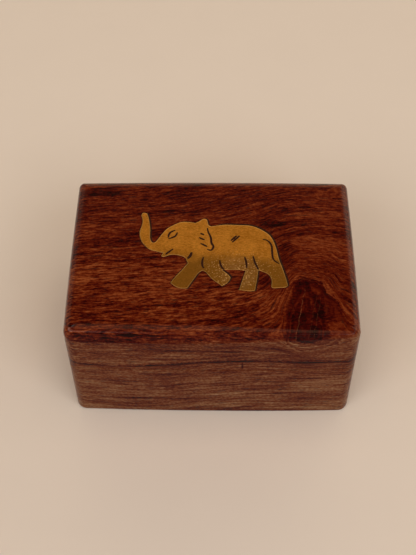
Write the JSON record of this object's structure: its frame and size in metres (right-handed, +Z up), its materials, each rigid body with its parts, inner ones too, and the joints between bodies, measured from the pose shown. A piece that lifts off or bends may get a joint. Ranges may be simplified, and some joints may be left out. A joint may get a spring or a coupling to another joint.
{
  "type": "hinged wooden keepsake box",
  "caption": "Small solid wood keepsake box with rounded edges, a hinged lid on two brass butt hinges and a walking brass elephant let flush into the lid.",
  "frame": {"origin": "middle of the underside of the box", "axes": "+X to the right along the long side, +Y to the back where the hinges are, +Z up; the front faces -Y"},
  "size_m": [0.0762, 0.0544, 0.038],
  "materials": {
    "rosewood": "polished",
    "brass": "brushed",
    "steel": "satin"
  },
  "bodies": {
    "base": {"base_block": "rosewood", "left_hinge_base_leaf": "brass", "left_hinge_pin": "steel", "left_base_nail_1": "brass", "left_base_nail_2": "brass", "right_hinge_base_leaf": "brass", "right_hinge_pin": "steel", "right_base_nail_1": "brass", "right_base_nail_2": "brass"},
    "lid": {"lid_block": "rosewood", "elephant_inlay": "brass", "left_hinge_lid_leaf": "brass", "left_lid_nail_1": "brass", "left_lid_nail_2": "brass", "right_hinge_lid_leaf": "brass", "right_lid_nail_1": "brass", "right_lid_nail_2": "brass"}
  },
  "joints": [
    {"name": "lid_hinge", "type": "hinge", "parent": "base", "child": "lid", "pos_m": [0, 0.02635, 0.02208], "axis": [-1, 0, 0], "range_deg": [0, 100]}
  ]
}
